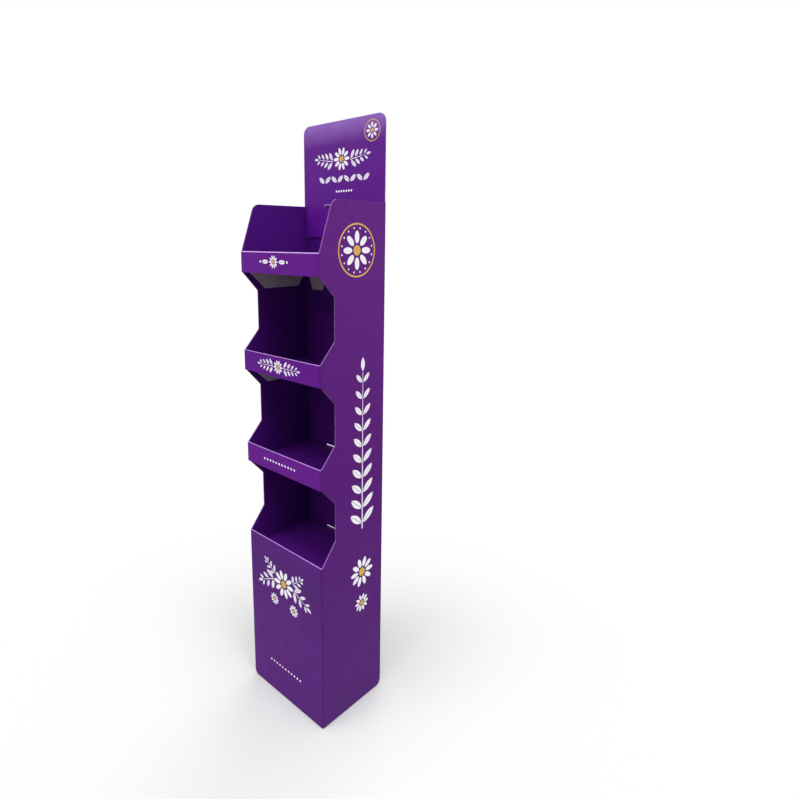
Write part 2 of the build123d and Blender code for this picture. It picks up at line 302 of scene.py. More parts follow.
def offset_print(name):
    """Offset print on white-lined kraft, sealed with a satin varnish: an even, deep colour with a soft
    sheen, the flutes just showing through."""
    board, inks, _ = settings()
    material, tree = new_material(name)
    place = add_node(tree, "ShaderNodeTexCoord")
    axes = add_node(tree, "ShaderNodeSeparateXYZ", {"Vector": place.outputs["Object"]})
    on_side, on_face = [colour_field(tree, axes.outputs["Z"], stops) for stops in PRINTS[name]]
    in_front = add_node(
        tree,
        "ShaderNodeMapRange",
        {
            "Value": axes.outputs["Y"],
            "From Min": board.thickness - half_depth,
            "From Max": FRONT_SKIN - half_depth,
        },
    )
    field = add_node(
        tree,
        "ShaderNodeMix",
        {SHARE: in_front, FROM_COLOUR: on_side, TO_COLOUR: on_face},
        data_type="RGBA",
    )
    # Painted shade at the upright folds: the ink is painted a little darker on each side of a fold
    near_fold = []
    for axis, outside in (("X", half_width), ("Y", half_depth)):
        out = add_node(tree, "ShaderNodeMath", {FIRST: axes.outputs[axis]}, operation="ABSOLUTE")
        fold = outside - board.thickness
        near = {"Value": out, "From Min": fold - board.score, "From Max": fold}
        near_fold.append(add_node(tree, "ShaderNodeMapRange", near))
    score = add_node(
        tree, "ShaderNodeMath", {FIRST: near_fold[0], SECOND: near_fold[1]}, operation="MULTIPLY"
    )
    fold_shade = add_node(tree, "ShaderNodeMapRange", {"Value": score, "To Min": 1.0, "To Max": FOLD_SHADE_INK})
    # The ink lies a little unevenly, in cloudy patches
    cloud = patches(tree, inks.ink_cloud, detail=3.0, spread=NOISE_SPREAD, result=(0.94, 1.06))
    shade = add_node(tree, "ShaderNodeMath", {FIRST: cloud, SECOND: fold_shade}, operation="MULTIPLY")
    ink = add_node(
        tree, "ShaderNodeVectorMath", {FIRST: field.outputs[MIXED], SECOND: shade}, operation="MULTIPLY"
    )
    # A painted highlight: a thin pale line along the lips' top edges, where the light from above catches
    # them, widest on the top lip, which gets the most of it
    rubbed = ((top_lip, inks.highlight_top), (middle_lip, inks.highlight_middle), (lower_lip, inks.highlight_lower))
    lines = []
    for top, width in rubbed:
        near = {FIRST: axes.outputs["Z"], SECOND: top - width / 2, THIRD: width / 2}
        lines.append(add_node(tree, "ShaderNodeMath", near, operation="COMPARE"))
    line = lines[0]
    for other in lines[1:]:
        line = add_node(tree, "ShaderNodeMath", {FIRST: line, SECOND: other}, operation="MAXIMUM")
    # The painted highlight lies on these lines, on the front faces only
    bare = add_node(tree, "ShaderNodeMath", {FIRST: line, SECOND: in_front}, operation="MULTIPLY")
    printed = add_node(
        tree,
        "ShaderNodeMix",
        {SHARE: bare, FROM_COLOUR: ink, TO_COLOUR: inks.lip_highlight},
        data_type="RGBA",
    )
    # Varnish is duller where hands and cartons rubbed it
    gloss = patches(tree, inks.rubbed_patch, detail=5.0, spread=(0.3, 0.75), result=(0.42, 0.58))
    shader = add_node(
        tree,
        "ShaderNodeBsdfPrincipled",
        {
            "Base Color": printed.outputs[MIXED],
            "Roughness": gloss,
            "IOR": INK_IOR,
            "Specular IOR Level": 0.15,
            "Normal": washboard(tree, strength=0.35),
        },
    )
    add_node(tree, "ShaderNodeOutputMaterial", {"Surface": shader})
    return material


def recycled_liner(name):
    """Unprinted testliner: dull grey-brown recycled paper with darker and paler fibres and faint ribs."""
    board = settings()[0]
    material, tree = new_material(name)
    fleck = patches(tree, board.fibre, detail=6.0, spread=NOISE_SPREAD, result=(0.84, 1.14))
    cloud = patches(tree, board.liner_patch, detail=2.0, spread=NOISE_SPREAD, result=(0.93, 1.07))
    shade = add_node(tree, "ShaderNodeMath", {FIRST: fleck, SECOND: cloud}, operation="MULTIPLY")
    paper = add_node(
        tree, "ShaderNodeVectorMath", {FIRST: board.liner[:3], SECOND: shade}, operation="MULTIPLY"
    )
    shader = add_node(
        tree,
        "ShaderNodeBsdfPrincipled",
        {"Base Color": paper, "Roughness": 0.86, "IOR": PAPER_IOR, "Normal": washboard(tree, strength=0.6)},
    )
    add_node(tree, "ShaderNodeOutputMaterial", {"Surface": shader})
    return material


def die_cut_edge(name):
    """The section that the die leaves: two pale liners and a wavy flute between them, crushed in places."""
    board = settings()[0]
    material, tree = new_material(name)
    # The map's Y runs from 0 to 1 through the board, and the flute swings to each side of its middle
    across, wave = flute_wave(tree)
    flute = add_node(
        tree,
        "ShaderNodeMath",
        {FIRST: wave, SECOND: FLUTE_SWING, THIRD: BOARD_MIDDLE},
        operation="MULTIPLY_ADD",
    )
    depths = []
    for line in (flute, BOARD_MIDDLE):
        off = add_node(
            tree, "ShaderNodeMath", {FIRST: across.outputs["Y"], SECOND: line}, operation="SUBTRACT"
        )
        depths.append(add_node(tree, "ShaderNodeMath", {FIRST: off}, operation="ABSOLUTE"))
    from_flute, from_middle = depths
    in_flute = add_node(
        tree,
        "ShaderNodeMapRange",
        {
            "Value": from_flute,
            "From Min": FLUTE_EDGE[0],
            "From Max": FLUTE_EDGE[1],
            "To Min": 1.0,
            "To Max": 0.0,
        },
    )
    in_liner = add_node(
        tree,
        "ShaderNodeMapRange",
        {"Value": from_middle, "From Min": LINER_EDGE[0], "From Max": LINER_EDGE[1]},
    )
    paper = add_node(tree, "ShaderNodeMath", {FIRST: in_flute, SECOND: in_liner}, operation="MAXIMUM")
    # The die crushes the flute shut here and there
    crushed = patches(tree, board.crushed, detail=3.0, spread=(0.45, 0.62), result=(0.0, 1.0))
    shown = add_node(tree, "ShaderNodeMath", {FIRST: paper, SECOND: crushed}, operation="MAXIMUM")
    # Painted light by facing: cut edges that face up get the paler paper as a painted highlight, and the
    # others keep the darker paper as painted shade
    facing = add_node(tree, "ShaderNodeNewGeometry")
    up = add_node(tree, "ShaderNodeSeparateXYZ", {"Vector": facing.outputs["True Normal"]})
    rubbed = add_node(
        tree,
        "ShaderNodeMapRange",
        {"Value": up.outputs["Z"], "From Min": HIGHLIT_UP[0], "From Max": HIGHLIT_UP[1]},
    )
    paper_tone = add_node(
        tree,
        "ShaderNodeMix",
        {SHARE: rubbed, FROM_COLOUR: board.cut_paper, TO_COLOUR: board.highlit_paper},
        data_type="RGBA",
    )
    tone = add_node(
        tree,
        "ShaderNodeMix",
        {SHARE: shown, FROM_COLOUR: board.cut_hollow, TO_COLOUR: paper_tone.outputs[MIXED]},
        data_type="RGBA",
    )
    relief = add_node(tree, "ShaderNodeBump", {"Height": shown, "Strength": 0.8, "Distance": 0.0004})
    shader = add_node(
        tree,
        "ShaderNodeBsdfPrincipled",
        {"Base Color": tone.outputs[MIXED], "Roughness": 0.9, "IOR": PAPER_IOR, "Normal": relief},
    )
    add_node(tree, "ShaderNodeOutputMaterial", {"Surface": shader})
    return material


def spot_ink(name, tone, roughness):
    """A spot ink under the varnish: flat and even, with the board's faint cloudiness."""
    material, tree = new_material(name)
    shade = patches(tree, settings()[1].spot_cloud, detail=4.0, spread=NOISE_SPREAD, result=(0.94, 1.03))
    ink = add_node(tree, "ShaderNodeVectorMath", {FIRST: tone[:3], SECOND: shade}, operation="MULTIPLY")
    shader = add_node(
        tree, "ShaderNodeBsdfPrincipled", {"Base Color": ink, "Roughness": roughness, "IOR": INK_IOR}
    )
    add_node(tree, "ShaderNodeOutputMaterial", {"Surface": shader})
    return material


def stand_material(name):
    """Finds one of the stand's finishes, or makes it the first time that it is asked for."""
    if name in bpy.data.materials:
        return bpy.data.materials[name]
    if name == "Unprinted testliner":
        return recycled_liner(name)
    if name == "Die-cut board edge":
        return die_cut_edge(name)
    if name == "Opaque white ink":
        return spot_ink(name, settings()[1].white_ink, 0.45)
    if name == "Yellow-gold ink":
        return spot_ink(name, settings()[1].gold_ink, 0.38)
    return offset_print(name)


# Board pieces

# Slots that every board piece has, in this order
OUTER, INNER, CUT = 0, 1, 2

# Points closer than this are one point
MERGE = 0.00001

# A ray starts this far under a face, and finds a cut edge where the board is this many times its thickness
UNDER_FACE = 0.00002
DEEPER = 1.15

# Faces turned by less are one panel, sharper corners are worn, and smaller bends look smooth
PANEL_ANGLE = math.radians(0.5)
WORN_ANGLE = math.radians(60)
SMOOTH_ANGLE = math.radians(30)

# How much of a normal points along an axis: mostly, and at all
MOSTLY = 0.7
SOMEWHAT = 0.3

# A point inside the wrap: its outer faces point away from it
WRAP_MIDDLE = Vector((0.0, 0.0, 0.8))


def clear_selection():
    """Leaves edit mode and deselects everything."""
    if bpy.context.object and bpy.context.object.mode != "OBJECT":
        bpy.ops.object.mode_set(mode="OBJECT")
    bpy.ops.object.select_all(action="DESELECT")


def make_active(piece):
    """Selects one piece alone and makes it the active one."""
    clear_selection()
    piece.select_set(True)
    bpy.context.view_layer.objects.active = piece


def edit_all():
    """Enters edit mode with the whole of the active piece selected."""
    bpy.ops.object.mode_set(mode="EDIT")
    bpy.ops.mesh.select_all(action="SELECT")


def leave_edit():
    """Goes back to object mode."""
    bpy.ops.object.mode_set(mode="OBJECT")


def sort_faces(mesh, thickness, is_outer, flute_axis):
    """Gives each face of a board its slot, and the board's own map: distance across the flutes, then depth.

    A face is a cut edge where the board behind it is deeper than its thickness. is_outer(centre, normal)
    says which side of the sheet a face is on, and flute_axis(centre, normal) names the axis that runs
    across the flutes.
    """
    shell = bmesh.new()
    shell.from_mesh(mesh)
    shell.faces.ensure_lookup_table()
    inside = BVHTree.FromBMesh(shell)
    for face in shell.faces:
        centre = face.calc_center_median()
        normal = face.normal
        depth = inside.ray_cast(centre - normal * UNDER_FACE, -normal)[3] or 0.0
        if depth > thickness * DEEPER:
            face.material_index = CUT
        else:
            face.material_index = OUTER if is_outer(centre, normal) else INNER
    sheet_map = shell.loops.layers.uv.new("board")
    for face in shell.faces:
        across = face.normal
        if face.material_index == CUT:
            beside = [
                (edge.calc_length(), other.index)
                for edge in face.edges
                for other in edge.link_faces
                if other.material_index != CUT
            ]
            if beside:
                across = shell.faces[max(beside)[1]].normal
        axis = flute_axis(face.calc_center_median(), across)
        depths = [across.dot(loop.vert.co) for loop in face.loops]
        for loop, depth in zip(face.loops, depths):
            v = (depth - min(depths)) / thickness if face.material_index == CUT else 0.0
            loop[sheet_map].uv = (loop.vert.co[axis], v)
    shell.to_mesh(mesh)
    shell.free()


def dress_board(node, name, outer, inner, is_outer, flute_axis):
    """Copies a board of the frame as a clean shell with two sides and cut edges, to stand for the node."""
    sizes = settings()[0]
    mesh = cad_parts[node].data.copy()
    mesh.name = name
    board = bpy.data.objects.new(name, mesh)
    bpy.context.scene.collection.objects.link(board)
    mesh.materials.clear()
    for material in (outer, inner, "Die-cut board edge"):
        mesh.materials.append(stand_material(material))
    while mesh.uv_layers:
        mesh.uv_layers.remove(mesh.uv_layers[0])
    make_active(board)
    bpy.ops.mesh.customdata_custom_splitnormals_clear()
    edit_all()
    bpy.ops.mesh.remove_doubles(threshold=MERGE)
    leave_edit()
    sort_faces(mesh, sizes.thickness, is_outer, flute_axis)
    edit_all()
    bpy.ops.mesh.dissolve_limited(angle_limit=PANEL_ANGLE, delimit={"MATERIAL"})
    leave_edit()
    worn = board.modifiers.new("Cut corners", "BEVEL")
    worn.width = sizes.corner
    worn.segments = 1
    worn.limit_method = "ANGLE"
    worn.angle_limit = WORN_ANGLE
    worn.material = CUT
    bpy.ops.object.modifier_apply(modifier=worn.name)
    bpy.ops.object.shade_smooth_by_angle(angle=SMOOTH_ANGLE)
    flat = board.modifiers.new("Flat panels", "WEIGHTED_NORMAL")
    flat.keep_sharp = True
    bpy.ops.object.modifier_apply(modifier=flat.name)
    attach(board, "root")
    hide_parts(node)
    return board


def upright_flutes(centre, normal):
    """Flutes run up the wrap, the header and the cross, and on across the floor flaps."""
    if abs(normal.z) > MOSTLY:
        return 0 if abs(centre.y) / half_depth > abs(centre.x) / half_width else 1
    return 1 if abs(normal.x) > MOSTLY else 0


def shelf_flutes(centre, normal):
    """Flutes run across the shelves, down their side flaps and along their front and back flaps."""
    return 2 if abs(normal.y) > MOSTLY else 1


def is_wrap_outside(centre, normal):
    """A face of the wrap is outside where it points away from its middle."""
    return normal.dot(centre - WRAP_MIDDLE) > 0


def is_card_front(centre, normal):
    """A face of the header card is its front where it points forward."""
    return normal.y < -SOMEWHAT


def is_tray_top(centre, normal):
    """A tray's printed side points up on the shelf, and to the back or outwards on its folded flaps."""
    return normal.z > SOMEWHAT or normal.y > SOMEWHAT or normal.x * centre.x > SOMEWHAT * abs(centre.x)


def is_any(centre, normal):
    """Both sides of a plain board are the same."""
    return True


class STAND_OT_outer_wrap(bpy.types.Operator):
    """Dress the folded wrap: sides, front, back, lips and floor flaps, printed outside and in"""

    bl_idname = "stand.outer_wrap"
    bl_label = "Outer wrap"

    def execute(self, context):
        wrap = dress_board(
            "outer_wrap",
            "Printed_outer_wrap",
            "Offset print, wrap",
            "Offset print, inside",
            is_wrap_outside,
            upright_flutes,
        )
        return {"FINISHED"}


class STAND_OT_header_card(bpy.types.Operator):
    """Dress the header card: print in front, plain liner behind"""

    bl_idname = "stand.header_card"
    bl_label = "Header card"

    def execute(self, context):
        card = dress_board(
            "header_card",
            "Printed_header_card",
            "Offset print, header",
            "Unprinted testliner",
            is_card_front,
            upright_flutes,
        )
        return {"FINISHED"}


class STAND_OT_shelf_trays(bpy.types.Operator):
    """Dress the four shelf trays: print on top, plain liner under them and inside their flaps"""

    bl_idname = "stand.shelf_trays"
    bl_label = "Shelf trays"

    def execute(self, context):
        for node in TRAYS:
            tray = dress_board(
                node,
                f"Printed_{node}",
                "Offset print, inside",
                "Unprinted testliner",
                is_tray_top,
                shelf_flutes,
            )
        return {"FINISHED"}


class STAND_OT_base_cross(bpy.types.Operator):
    """Dress the two slotted boards that carry the base's shelf from inside"""

    bl_idname = "stand.base_cross"
    bl_label = "Base cross"

    def execute(self, context):
        for node in ("base_cross_wide", "base_cross_deep"):
            board = dress_board(
                node,
                f"Plain_{node}",
                "Unprinted testliner",
                "Unprinted testliner",
                is_any,
                upright_flutes,
            )
        return {"FINISHED"}


# Printed ornaments, laid out flat in metres, X to the right and Y up, then stood on a board's face

# How a flat sheet is turned to stand on each face
FACE_FRONT = (math.radians(90), 0, 0)
FACE_RIGHT = (math.radians(90), 0, math.radians(90))
FACE_LEFT = (math.radians(90), 0, math.radians(-90))

# A daisy of radius 1: its petals' number, foot and width, and the radius of its gold middle
DAISY_PETALS = 10
DAISY_FOOT = 0.36
DAISY_WIDTH = 0.30
DAISY_EYE = 0.27

# A ringed daisy of radius 1: its petals' number, foot, tip and width, and the radius of its gold middle
RINGED_PETALS = 8
SIDE_RINGED = {"foot": 0.26, "tip": 0.72, "width": 0.24, "eye": 0.19}
HEADER_RINGED = {"foot": 0.28, "tip": 0.74, "width": 0.24, "eye": 0.2}

# The dots inside the side ring: how many, how far out in the ring, and their size next to a row's dots
RING_DOTS = 16
RING_DOTS_OUT = 0.82
RING_DOT_SIZE = 0.75

# Width of a leaf and of a stem next to the leaf's length, the stem's width at its tip next to its foot, and
# the leaves' distance from the stem's middle next to its full width
LEAF_WIDTH = 0.38
STEM_WIDTH = 0.09
STEM_TIP = 0.35
STEM_GAP = 0.75

# Along a branch, as shares of its length: the first pair of leaves, and how far on the last pair is
FIRST_PAIR = 0.04
PAIRS_REACH = 0.90

# The leaves of a branch: degrees from the stem, how many less and how much smaller at the last pair, and the
# scale of the leaf at the tip
LEAF_ANGLE = 52
LEAF_CLOSES = 8
LEAF_SHRINKS = 0.42
TIP_LEAF = 0.68

# The small branches: length in metres, pairs of leaves, and length of the largest leaf
HEADER_BRANCH = (0.062, 4, 0.028)
MIDDLE_BRANCH = (0.056, 4, 0.023)
BASE_BRANCH = (0.062, 3, 0.036)


def flat_disc(radius, steps=32):
    """A disc at the origin."""
    bpy.ops.mesh.primitive_circle_add(vertices=steps, radius=radius, fill_type="NGON")
    return bpy.context.object


def flat_ring(radius, line):
    """A ring at the origin: a disc with its middle inset and taken out."""
    ring = flat_disc(radius, steps=96)
    edit_all()
    bpy.ops.mesh.inset(thickness=line)
    bpy.ops.mesh.delete(type="FACE")
    leave_edit()
    return ring


def flat_leaf(span, width):
    """A pointed leaf along X from the origin: two segments of a circle with a bare vein between them."""
    vein = settings()[2].vein
    rise = (width - vein) / 2
    radius = (span * span / 4 + rise * rise) / (2 * rise)
    bpy.ops.mesh.primitive_circle_add(
        vertices=96, radius=radius, fill_type="NGON", location=(span / 2, rise - radius, 0)
    )
    leaf = bpy.context.object
    bpy.ops.object.transform_apply(location=True)
    edit_all()
    bpy.ops.mesh.bisect(plane_co=(0, 0, 0), plane_no=(0, 1, 0), clear_inner=True)
    bpy.ops.mesh.select_all(action="SELECT")
    bpy.ops.transform.translate(value=(0, vein / 2, 0))
    bpy.ops.mesh.duplicate()
    bpy.ops.transform.mirror(constraint_axis=(False, True, False), center_override=(0, 0, 0))
    bpy.ops.mesh.select_all(action="SELECT")
    bpy.ops.mesh.normals_make_consistent(inside=False)
    leave_edit()
    return leaf


def flat_stem(span, line):
    """A stem along X from the origin that narrows towards its tip."""
    bpy.ops.mesh.primitive_plane_add(size=1.0, location=(span / 2, 0, 0))
    stem = bpy.context.object
    bpy.ops.object.transform_apply(location=True)
    edit_all()
    bpy.ops.transform.resize(value=(span, line, 1), center_override=(span / 2, 0, 0))
    leave_edit()
    for part in (*stem.data.edges, *stem.data.polygons):
        part.select = False
    for vertex in stem.data.vertices:
        vertex.select = vertex.co.x > span / 2
    bpy.ops.object.mode_set(mode="EDIT")
    bpy.ops.transform.resize(value=(1, STEM_TIP, 1), center_override=(span, 0, 0))
    leave_edit()
    return stem


def flat_petals(count, inner, outer, width):
    """A ring of rounded petals about the origin, spun from one petal."""
    middle = (inner + outer) / 2
    bpy.ops.mesh.primitive_circle_add(vertices=20, radius=0.5, fill_type="NGON", location=(middle, 0, 0))
    petals = bpy.context.object
    bpy.ops.object.transform_apply(location=True)
    edit_all()
    bpy.ops.transform.resize(value=(outer - inner, width, 1), center_override=(middle, 0, 0))
    bpy.ops.mesh.spin(
        steps=count, dupli=True, angle=2 * math.pi, center=(0, 0, 0), axis=(0, 0, 1), use_auto_merge=False
    )
    bpy.ops.mesh.select_all(action="SELECT")
    bpy.ops.mesh.remove_doubles(threshold=MERGE)
    bpy.ops.mesh.normals_make_consistent(inside=False)
    leave_edit()
    return petals


def lay(piece, x, y, turn=0.0, scale=1.0):
    """Lays a copy of a flat piece, with a mesh of its own, at a place on the sheet."""
    copy = piece.copy()
    copy.data = piece.data.copy()
    copy.location = (x, y, 0)
    copy.rotation_euler = (0, 0, turn)
    copy.scale = (scale, scale, scale)
    bpy.context.scene.collection.objects.link(copy)
    return copy


def lay_pair(piece, x, y, reach, turn=0.0, scale=1.0):
    """Lays two copies of a flat piece, one to each side of a place, pointing out at the same angle."""
    return [lay(piece, x + reach, y, turn, scale), lay(piece, x - reach, y, math.pi - turn, scale)]


def lay_daisies(white, gold, places):
    """Lays a daisy at each place of x, y and radius: white petals and a gold middle."""
    petals = flat_petals(DAISY_PETALS, DAISY_FOOT, 1.0, DAISY_WIDTH)
    eye = flat_disc(DAISY_EYE)
    for x, y, radius in places:
        white.append(lay(petals, x, y, 0.0, radius))
        gold.append(lay(eye, x, y, 0.0, radius))
    drop(petals, eye)


def lay_ringed_daisy(white, gold, place, radius, line, shape):
    """Lays a daisy in a ring at a place of x and y: white petals, and a gold ring and middle."""
    foot, tip, width = [radius * shape[part] for part in ("foot", "tip", "width")]
    petals = flat_petals(RINGED_PETALS, foot, tip, width)
    ring = flat_ring(radius, line)
    eye = flat_disc(radius * shape["eye"])
    for piece in (petals, ring, eye):
        piece.location = (*place, 0)
    white.append(petals)
    gold.extend([ring, eye])


def drop(*pieces):
    """Deletes the patterns that copies were laid from."""
    clear_selection()
    for piece in pieces:
        piece.select_set(True)
    bpy.ops.object.delete()


def gather(pieces):
    """Joins laid pieces to one flat piece with its place in its mesh."""
    clear_selection()
    for piece in pieces:
        piece.select_set(True)
    bpy.context.view_layer.objects.active = pieces[0]
    bpy.ops.object.join()
    bpy.ops.object.transform_apply(location=True, rotation=True, scale=True)
    return pieces[0]


def flat_branch(span, pairs, leaf_span):
    """A leafy branch along X from the origin: a stem, pairs of leaves that shrink, and one at the tip."""
    ornament = settings()[2]
    leaf = flat_leaf(leaf_span, leaf_span * LEAF_WIDTH)
    gap = ornament.stem * STEM_GAP
    pieces = [flat_stem(span, min(ornament.stem, leaf_span * STEM_WIDTH))]
    for step in range(pairs):
        share = step / max(pairs - 1, 1)
        x = span * (FIRST_PAIR + PAIRS_REACH * share)
        turn = math.radians(LEAF_ANGLE - LEAF_CLOSES * share)
        for side in (-1, 1):
            pieces.append(lay(leaf, x, side * gap, side * turn, 1 - LEAF_SHRINKS * share))
    pieces.append(lay(leaf, span + gap, 0, 0, TIP_LEAF))
    drop(leaf)
    return gather(pieces)


def dot_row(count, width):
    """A row of dots about the origin, copied along X from one dot."""
    dots = flat_disc(settings()[2].dot, steps=20)
    row = dots.modifiers.new("Row", "ARRAY")
    row.count = count
    row.use_relative_offset = False
    row.use_constant_offset = True
    row.constant_offset_displace = (width / (count - 1), 0, 0)
    make_active(dots)
    bpy.ops.object.modifier_apply(modifier=row.name)
    edit_all()
    bpy.ops.transform.translate(value=(-width / 2, 0, 0))
    leave_edit()
    return dots


def stand_on_board(pieces, name, ink, turn, place):
    """Joins flat pieces, gives them the ink's thickness, and stands them on a board's face."""
    sheet = gather(pieces)
    sheet.name = name
    sheet.data.name = name
    sheet.data.materials.clear()
    sheet.data.materials.append(stand_material(ink))
    film = sheet.modifiers.new("Ink film", "SOLIDIFY")
    film.thickness = 2 * settings()[2].ink
    film.offset = 0.0
    bpy.ops.object.modifier_apply(modifier=film.name)
    sheet.rotation_euler = turn
    sheet.location = place
    bpy.ops.object.transform_apply(location=True, rotation=True, scale=True)
    edit_all()
    bpy.ops.mesh.normals_make_consistent(inside=False)
    leave_edit()
    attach(sheet, "root")
    return sheet


# Each side, in metres behind its middle and over the floor: the ring's place, and the line of the branch and
# the daisies, with the branch's foot, length and pairs of leaves and each daisy's height and radius
SIDE_RING = (0.013, 1.483)
SIDE_LINE = 0.040
SIDE_BRANCH_FOOT = 0.620
SIDE_BRANCH_SPAN = 0.505
SIDE_BRANCH_PAIRS = 10
SIDE_DAISIES = ((0.470, 0.050), (0.360, 0.030))


class STAND_OT_side_ornament(bpy.types.Operator):
    """Print each side: a ringed daisy at the top, a tall leafy branch and two daisies under it"""

    bl_idname = "stand.side_ornament"
    bl_label = "Side ornaments"

    def execute(self, context):
        ornament = settings()[2]
        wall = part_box("outer_wrap")[1].x
        for name, turn, side in (("right", FACE_RIGHT, 1), ("left", FACE_LEFT, -1)):
            clear_selection()
            white = []
            gold = []
            ring_x = side * SIDE_RING[0]
            ring_y = SIDE_RING[1]
            lay_ringed_daisy(
                white, gold, (ring_x, ring_y), ornament.side_ring, ornament.stem, SIDE_RINGED
            )
            out = ornament.side_ring * RING_DOTS_OUT
            dot = flat_disc(ornament.dot * RING_DOT_SIZE, steps=16)
            for step in range(RING_DOTS):
                angle = 2 * math.pi * (step + 0.5) / RING_DOTS
                white.append(lay(dot, ring_x + out * math.cos(angle), ring_y + out * math.sin(angle)))
            drop(dot)
            line_x = side * SIDE_LINE
            branch = flat_branch(SIDE_BRANCH_SPAN, SIDE_BRANCH_PAIRS, ornament.side_leaf)
            branch.location = (line_x, SIDE_BRANCH_FOOT, 0)
            branch.rotation_euler = (0, 0, math.radians(90))
            white.append(branch)
            lay_daisies(white, gold, [(line_x, height, radius) for height, radius in SIDE_DAISIES])
            place = (side * wall, 0, 0)
            stand_on_board(white, f"White_side_ornament_{name}", "Opaque white ink", turn, place)
            stand_on_board(gold, f"Gold_side_ornament_{name}", "Yellow-gold ink", turn, place)
        return {"FINISHED"}


# The header: its daisy, the branches beside it, the leaflets and dots below it, and the ring's place
HEADER_DAISY = (-0.002, 1.757, 0.034)
HEADER_BRANCH_HEIGHT = 1.752
HEADER_BRANCH_REACH = 0.038
HEADER_BRANCH_TILT = math.radians(9)
HEADER_LEAFLETS = 8
LEAFLET_STEP = 0.0275
LEAFLET_SPAN = 0.029
LEAFLET_WIDTH = 0.013
LEAFLET_TILT = math.radians(38)
LEAFLET_MIDDLE = (0.006, 1.698)
HEADER_DOTS = (7, 0.064)
HEADER_DOTS_PLACE = (0.008, 1.661)
HEADER_RING = (0.124, 1.826)


class STAND_OT_header_ornament(bpy.types.Operator):
    """Print the header: a daisy between two branches, leaflets and dots under it, and a ringed daisy"""

    bl_idname = "stand.header_ornament"
    bl_label = "Header ornament"

    def execute(self, context):
        ornament = settings()[2]
        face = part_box("header_card")[0].y
        clear_selection()
        white = []
        gold = []
        lay_daisies(white, gold, [HEADER_DAISY])
        branch = flat_branch(*HEADER_BRANCH)
        white += lay_pair(
            branch, HEADER_DAISY[0], HEADER_BRANCH_HEIGHT, HEADER_BRANCH_REACH, HEADER_BRANCH_TILT
        )
        # The leaflets point up and down by turns, each about its own middle
        leaflet = flat_leaf(LEAFLET_SPAN, LEAFLET_WIDTH)
        for step in range(HEADER_LEAFLETS):
            tilt = LEAFLET_TILT if step % 2 else -LEAFLET_TILT
            x = LEAFLET_MIDDLE[0] + (step - (HEADER_LEAFLETS - 1) / 2) * LEAFLET_STEP
            foot_x = x - LEAFLET_SPAN / 2 * math.cos(tilt)
            foot_y = LEAFLET_MIDDLE[1] - LEAFLET_SPAN / 2 * math.sin(tilt)
            white.append(lay(leaflet, foot_x, foot_y, tilt))
        drop(branch, leaflet)
        dots = dot_row(*HEADER_DOTS)
        dots.location = (*HEADER_DOTS_PLACE, 0)
        white.append(dots)
        lay_ringed_daisy(
            white, gold, HEADER_RING, ornament.header_ring, ornament.header_line, HEADER_RINGED
        )
        stand_on_board(white, "White_header_ornament", "Opaque white ink", FACE_FRONT, (0, face, 0))
        stand_on_board(gold, "Gold_header_ornament", "Yellow-gold ink", FACE_FRONT, (0, face, 0))
        return {"FINISHED"}


# The front: daisies as x, height and radius, what lies beside them, and rows of dots as a count, a width
# and a place
TOP_DAISY = (-0.016, top_lip - 0.029, 0.019)
TOP_LEAF = (0.030, 0.012)
TOP_LEAF_REACH = 0.023
TOP_DOT_REACH = 0.061
MIDDLE_DAISY = (-0.006, middle_lip - 0.032, 0.021)
MIDDLE_BRANCH_REACH = 0.024
BASE_DAISY = (-0.004, 0.424, 0.047)
BASE_SMALL_DAISIES = ((-0.052, 0.352, 0.020), (0.044, 0.352, 0.020))
DOT_ROWS = ((11, 0.143, (-0.012, lower_lip - 0.032)), (11, 0.147, (-0.004, 0.112)))

# The base's branches beside the large daisy: reach to the side, how much higher they start, turn and scale
BASE_BRANCH_PLACES = ((0.050, 0.0, math.radians(-26), 1.0), (0.046, 0.022, math.radians(38), 0.72))


class STAND_OT_front_ornament(bpy.types.Operator):
    """Print the front: a small ornament on each lip, and a daisy between two branches on the base"""

    bl_idname = "stand.front_ornament"
    bl_label = "Front ornaments"

    def execute(self, context):
        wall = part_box("outer_wrap")[0].y
        clear_selection()
        white = []
        gold = []
        lay_daisies(white, gold, [TOP_DAISY, MIDDLE_DAISY, BASE_DAISY, *BASE_SMALL_DAISIES])
        # Top lip: two leaves and two dots beside the daisy
        leaf = flat_leaf(*TOP_LEAF)
        dot = flat_disc(settings()[2].dot, steps=20)
        white += lay_pair(leaf, *TOP_DAISY[:2], TOP_LEAF_REACH)
        white += lay_pair(dot, *TOP_DAISY[:2], TOP_DOT_REACH)
        # Middle lip: two leafy branches beside the daisy
        small_branch = flat_branch(*MIDDLE_BRANCH)
        white += lay_pair(small_branch, *MIDDLE_DAISY[:2], MIDDLE_BRANCH_REACH)
        # Base: two branches to each side of the large daisy
        branch = flat_branch(*BASE_BRANCH)
        x, y, _ = BASE_DAISY
        for reach, higher, turn, scale in BASE_BRANCH_PLACES:
            white += lay_pair(branch, x, y + higher, reach, turn, scale)
        drop(leaf, dot, small_branch, branch)
        # Lower lip and base: a row of dots
        for count, width, place in DOT_ROWS:
            row = dot_row(count, width)
            row.location = (*place, 0)
            white.append(row)
        stand_on_board(white, "White_front_ornament", "Opaque white ink", FACE_FRONT, (0, wall, 0))
        stand_on_board(gold, "Gold_front_ornament", "Yellow-gold ink", FACE_FRONT, (0, wall, 0))
        return {"FINISHED"}


# Camera, lights and floor

# The photo's camera, fitted to the stand's corners: place in metres, turn in degrees, lens and sensor in
# millimetres, and shift as a share of the picture's width
CAMERA_PLACE = (1.3039, -1.1906, 1.5162)
CAMERA_TURN = (78.7762, 0.0975, 44.5507)
CAMERA_LENS = 25.905
CAMERA_SENSOR = 36.0
CAMERA_SHIFT = (0.0708, -0.0588)
CAMERA_FAR = 100.0

